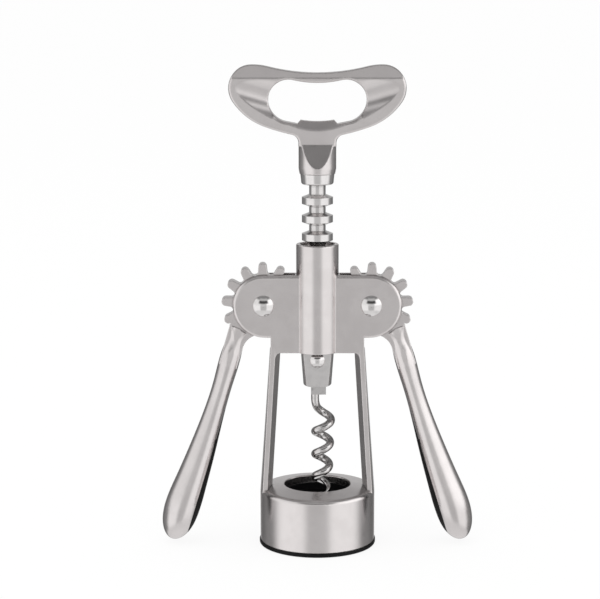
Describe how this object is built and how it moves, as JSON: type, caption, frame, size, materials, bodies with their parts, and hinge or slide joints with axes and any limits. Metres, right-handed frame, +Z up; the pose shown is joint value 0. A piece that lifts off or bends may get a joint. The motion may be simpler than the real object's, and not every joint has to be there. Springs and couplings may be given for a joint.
{
  "type": "wing corkscrew",
  "caption": "Wing corkscrew with two geared levers, a ring rack, a bow handle with a cap-lifter opening, and an open spiral worm over a bell for the bottle's neck.",
  "frame": {"origin": "bottom centre of the bell, on the surface that the corkscrew stands on", "axes": "+Z up along the worm to the bow handle, +X towards the right-hand lever seen from the front, -Y is the front"},
  "size_m": [0.1172, 0.0436, 0.1798],
  "materials": {
    "satin_nickel": "zinc casting, satin nickel plate",
    "polished_nickel": "bright nickel plate",
    "plated_steel": "nickel plated steel wire",
    "black_plastic": "moulded black plastic",
    "black_grip": "moulded black soft plastic"
  },
  "bodies": {
    "frame": {"frame_casting": "satin_nickel", "bell_liner": "black_plastic", "left_pivot_rivet": "polished_nickel", "right_pivot_rivet": "polished_nickel"},
    "left_wing": {"left_lever": "satin_nickel", "left_lever_grip": "black_grip"},
    "right_wing": {"right_lever": "satin_nickel", "right_lever_grip": "black_grip"},
    "rack": {"ring_rack": "polished_nickel"},
    "screw": {"bow_handle": "satin_nickel", "worm_spindle": "satin_nickel", "worm_rivet": "polished_nickel", "worm": "plated_steel"}
  },
  "joints": [
    {"name": "left_wing_pivot", "type": "hinge", "parent": "frame", "child": "left_wing", "pos_m": [-0.01995, 0, 0.0913], "axis": [0, 1, 0], "range_deg": [-15, 104]},
    {"name": "right_wing_pivot", "type": "hinge", "parent": "frame", "child": "right_wing", "pos_m": [0.01995, 0, 0.0913], "axis": [0, -1, 0], "range_deg": [-15.5, 104.5]},
    {"name": "rack_slide", "type": "slide", "parent": "frame", "child": "rack", "axis": [0, 0, -1], "range_m": [-0.0038, 0.0256]},
    {"name": "handle_spin", "type": "hinge", "parent": "rack", "child": "screw", "pos_m": [0, 0, 0.15], "axis": [0, 0, 1], "continuous": true}
  ],
  "couplings": [
    {"joint": "right_wing_pivot", "follows": "left_wing_pivot", "ratio": 1},
    {"joint": "rack_slide", "follows": "left_wing_pivot", "m_per_rad": 0.013966}
  ]
}
